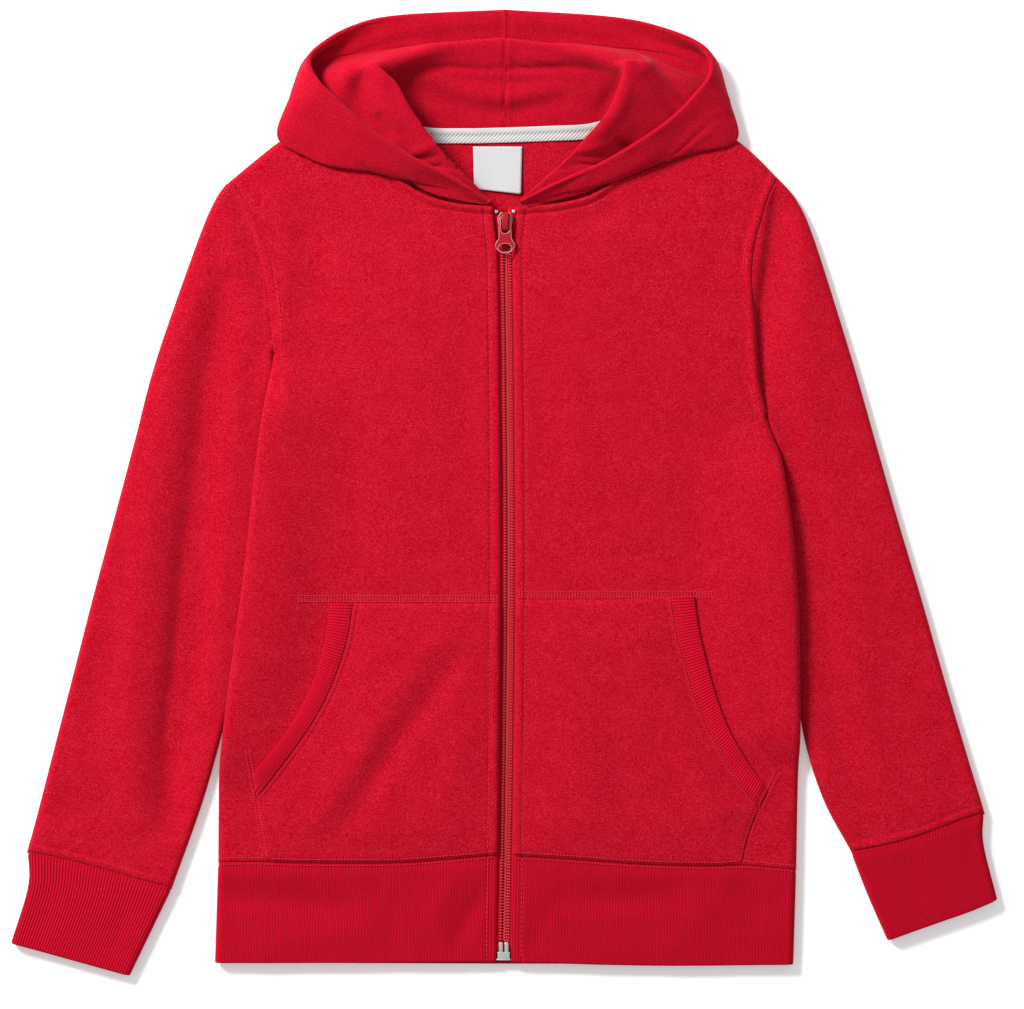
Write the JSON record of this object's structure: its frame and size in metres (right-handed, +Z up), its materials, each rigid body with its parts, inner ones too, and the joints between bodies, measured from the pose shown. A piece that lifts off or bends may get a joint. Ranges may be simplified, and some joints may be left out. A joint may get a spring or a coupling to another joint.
{
  "type": "kids hoodie",
  "caption": "Child's zip-front hoodie laid flat on its back, hood spread open, with a kangaroo pocket, rib cuffs and waistband, neck tape and a coil zip with a hinged pull.",
  "frame": {"origin": "middle of the bounding box in plan, on the surface that the back panel rests on", "axes": "+X towards the wearer's left sleeve, +Y towards the hood, +Z up from the surface to the fronts"},
  "size_m": [0.602, 0.5885, 0.0331],
  "materials": {
    "fleece": "brushed cotton fleece, plain knit face",
    "rib": "rib knit",
    "tape": "herringbone woven tape",
    "label": "woven satin, bare",
    "zip_cloth": "woven polyester tape",
    "zip_coil": "sewn nylon coil",
    "red_metal": "glossy enamel with worn bright edges",
    "steel": "bare pressed metal"
  },
  "bodies": {
    "garment": {"back": "fleece", "front_right": "fleece", "front_left": "fleece", "sleeve_right": "fleece", "sleeve_left": "fleece", "cuff_right": "rib", "cuff_left": "rib", "waistband": "rib", "hood_right": "fleece", "hood_left": "fleece", "pocket_right": "fleece", "pocket_left": "fleece", "pocket_binding_right": "rib", "pocket_binding_left": "rib", "neck_tape": "tape", "neck_label": "label", "zip_tape_right": "zip_cloth", "zip_tape_left": "zip_cloth", "zip_chain": "zip_coil", "zip_slider": "red_metal", "zip_bottom_stop": "steel", "zip_top_stop_right": "steel", "zip_top_stop_left": "steel"},
    "zip_pull": {"zip_pull": "red_metal"}
  },
  "joints": [
    {"name": "zip_pull_hinge", "type": "hinge", "parent": "garment", "child": "zip_pull", "pos_m": [0.0001, 0.1674, 0.0101], "axis": [-1, 0, 0], "range_deg": [0, 165]}
  ]
}
